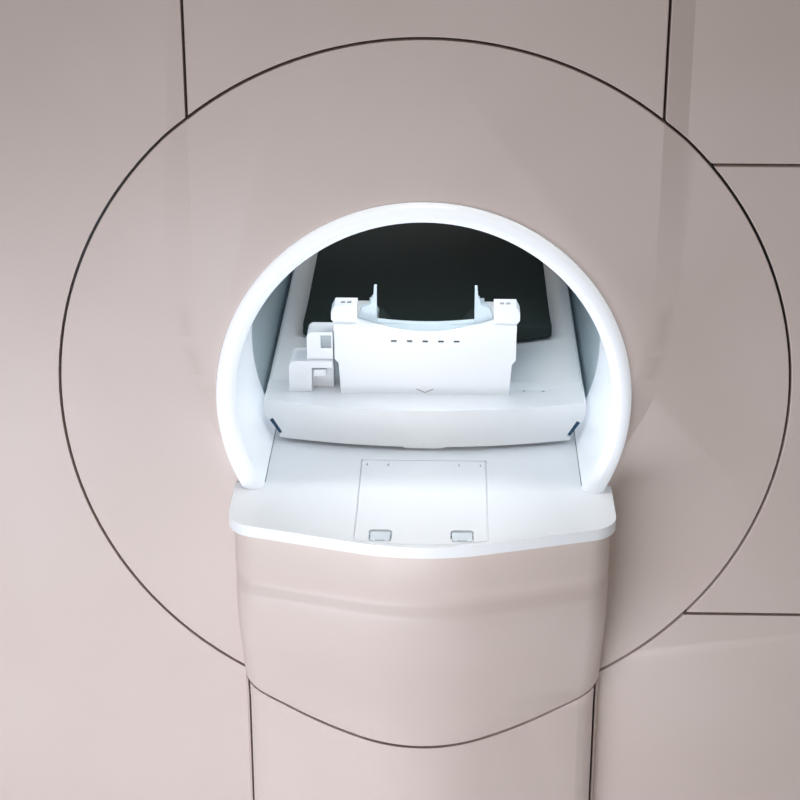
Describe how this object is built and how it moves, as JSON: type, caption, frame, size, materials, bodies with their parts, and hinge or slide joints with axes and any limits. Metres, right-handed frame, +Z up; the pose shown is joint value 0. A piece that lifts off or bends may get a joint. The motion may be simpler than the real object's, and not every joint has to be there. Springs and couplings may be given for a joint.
{
  "type": "mri scanner",
  "caption": "Wide-bore whole-body scanner with moulded covers, lit bore ring, rear service shelf, lifting patient table, sliding tabletop and head coil.",
  "frame": {"origin": "on the floor under the middle of the magnet, at the centre of the floor anchors", "axes": "+Z up, +Y along the bore from the rear end to the patient table, +X to the right seen from the rear"},
  "size_m": [2.2, 4.414, 2.39],
  "materials": {
    "ring_white": "gloss",
    "shelf_white": "satin",
    "latch_white": "satin",
    "panel_grey": "satin",
    "button_blue": "satin",
    "stop_red": "gloss",
    "cover_beige": "satin",
    "frame_steel": "satin",
    "vessel_steel": "brushed",
    "winding_metal": "wound",
    "gradient_resin": "cast",
    "coil_former": "satin",
    "liner_grey": "gloss",
    "bridge_white": "satin",
    "skirt_grey": "satin",
    "table_white": "satin",
    "lift_steel": "ground",
    "roller_grey": "anodised",
    "belt_black": "matt",
    "tabletop_white": "satin",
    "coil_white": "satin",
    "cradle_blue": "satin",
    "pad_grey": "matt coated fabric"
  },
  "bodies": {
    "scanner": {"rear_round_cover": "cover_beige", "rear_top_cover": "cover_beige", "rear_left_cover": "cover_beige", "rear_right_upper_cover": "cover_beige", "rear_right_middle_cover": "cover_beige", "rear_right_lower_cover": "cover_beige", "rear_base_cover": "cover_beige", "rear_bore_ring": "ring_white", "rear_shelf": "shelf_white", "shelf_hatch": "shelf_white", "rear_edge_cover": "cover_beige", "front_edge_cover": "cover_beige", "left_side_cover": "cover_beige", "right_side_cover": "cover_beige", "front_round_cover": "cover_beige", "front_top_cover": "cover_beige", "front_left_cover": "cover_beige", "front_right_cover": "cover_beige", "front_base_cover": "cover_beige", "front_bore_ring": "ring_white", "control_panel_left": "panel_grey", "control_panel_right": "panel_grey", "cover_frame": "frame_steel", "vacuum_vessel": "vessel_steel", "helium_vessel": "vessel_steel", "main_windings": "winding_metal", "gradient_coil": "gradient_resin", "body_coil": "coil_former", "bore_liner": "liner_grey", "bore_bridge": "bridge_white", "cold_head": "vessel_steel", "vent_turret": "vessel_steel", "magnet_feet": "frame_steel", "table_base": "skirt_grey", "lift_cylinder": "lift_steel"},
    "shelf_latch_left": {"shelf_latch_left": "latch_white"},
    "shelf_latch_right": {"shelf_latch_right": "latch_white"},
    "up_button_left": {"up_button_left": "button_blue"},
    "down_button_left": {"down_button_left": "button_blue"},
    "stop_button_left": {"stop_button_left": "stop_red"},
    "up_button_right": {"up_button_right": "button_blue"},
    "down_button_right": {"down_button_right": "button_blue"},
    "stop_button_right": {"stop_button_right": "stop_red"},
    "lift_middle": {"table_middle_skirt": "skirt_grey", "lift_tube": "lift_steel"},
    "lift_top": {"table_deck": "table_white", "lift_rod": "lift_steel", "drive_belt": "belt_black"},
    "rear_roller": {"rear_roller": "roller_grey"},
    "front_roller": {"front_roller": "roller_grey"},
    "drive_pulley": {"drive_pulley": "roller_grey"},
    "patient_top": {"tabletop": "tabletop_white", "tabletop_end_cap": "tabletop_white", "head_coil_housing": "coil_white", "head_coil_cradle": "cradle_blue", "head_cushion": "pad_grey", "coil_socket": "coil_white", "coil_plug": "coil_white", "mattress": "pad_grey"}
  },
  "joints": [
    {"name": "latch_left_lift", "type": "hinge", "parent": "scanner", "child": "shelf_latch_left", "pos_m": [-0.074, -1.067, 0.884], "axis": [-1, 0, 0], "range_deg": [0, 60]},
    {"name": "latch_right_lift", "type": "hinge", "parent": "scanner", "child": "shelf_latch_right", "pos_m": [0.074, -1.067, 0.884], "axis": [-1, 0, 0], "range_deg": [0, 60]},
    {"name": "up_left_press", "type": "slide", "parent": "scanner", "child": "up_button_left", "axis": [0, -1, 0], "range_m": [0, 0.003], "stiffness_N_per_m": 800},
    {"name": "down_left_press", "type": "slide", "parent": "scanner", "child": "down_button_left", "axis": [0, -1, 0], "range_m": [0, 0.003], "stiffness_N_per_m": 800},
    {"name": "stop_left_press", "type": "slide", "parent": "scanner", "child": "stop_button_left", "axis": [0, -1, 0], "range_m": [0, 0.003], "stiffness_N_per_m": 800},
    {"name": "up_right_press", "type": "slide", "parent": "scanner", "child": "up_button_right", "axis": [0, -1, 0], "range_m": [0, 0.003], "stiffness_N_per_m": 800},
    {"name": "down_right_press", "type": "slide", "parent": "scanner", "child": "down_button_right", "axis": [0, -1, 0], "range_m": [0, 0.003], "stiffness_N_per_m": 800},
    {"name": "stop_right_press", "type": "slide", "parent": "scanner", "child": "stop_button_right", "axis": [0, -1, 0], "range_m": [0, 0.003], "stiffness_N_per_m": 800},
    {"name": "table_lift", "type": "slide", "parent": "scanner", "child": "lift_top", "axis": [0, 0, 1], "range_m": [-0.4, 0]},
    {"name": "middle_lift", "type": "slide", "parent": "scanner", "child": "lift_middle", "axis": [0, 0, 1], "range_m": [-0.2, 0]},
    {"name": "tabletop_travel", "type": "slide", "parent": "scanner", "child": "patient_top", "axis": [0, 1, 0], "range_m": [-0.11, 1.6]},
    {"name": "rear_roller_turn", "type": "hinge", "parent": "lift_top", "child": "rear_roller", "pos_m": [0, 1.025, 0.8756], "axis": [1, 0, 0], "range_deg": [-3830, 280]},
    {"name": "front_roller_turn", "type": "hinge", "parent": "lift_top", "child": "front_roller", "pos_m": [0, 2.785, 0.8756], "axis": [1, 0, 0], "range_deg": [-3830, 280]},
    {"name": "drive_pulley_turn", "type": "hinge", "parent": "lift_top", "child": "drive_pulley", "pos_m": [0, 3.195, 0.8306], "axis": [1, 0, 0], "range_deg": [-3070, 230]}
  ],
  "couplings": [
    {"joint": "middle_lift", "follows": "table_lift", "ratio": 0.5},
    {"joint": "rear_roller_turn", "follows": "tabletop_travel", "rad_per_m": -41.667},
    {"joint": "front_roller_turn", "follows": "tabletop_travel", "rad_per_m": -41.667},
    {"joint": "drive_pulley_turn", "follows": "tabletop_travel", "rad_per_m": -33.333}
  ]
}
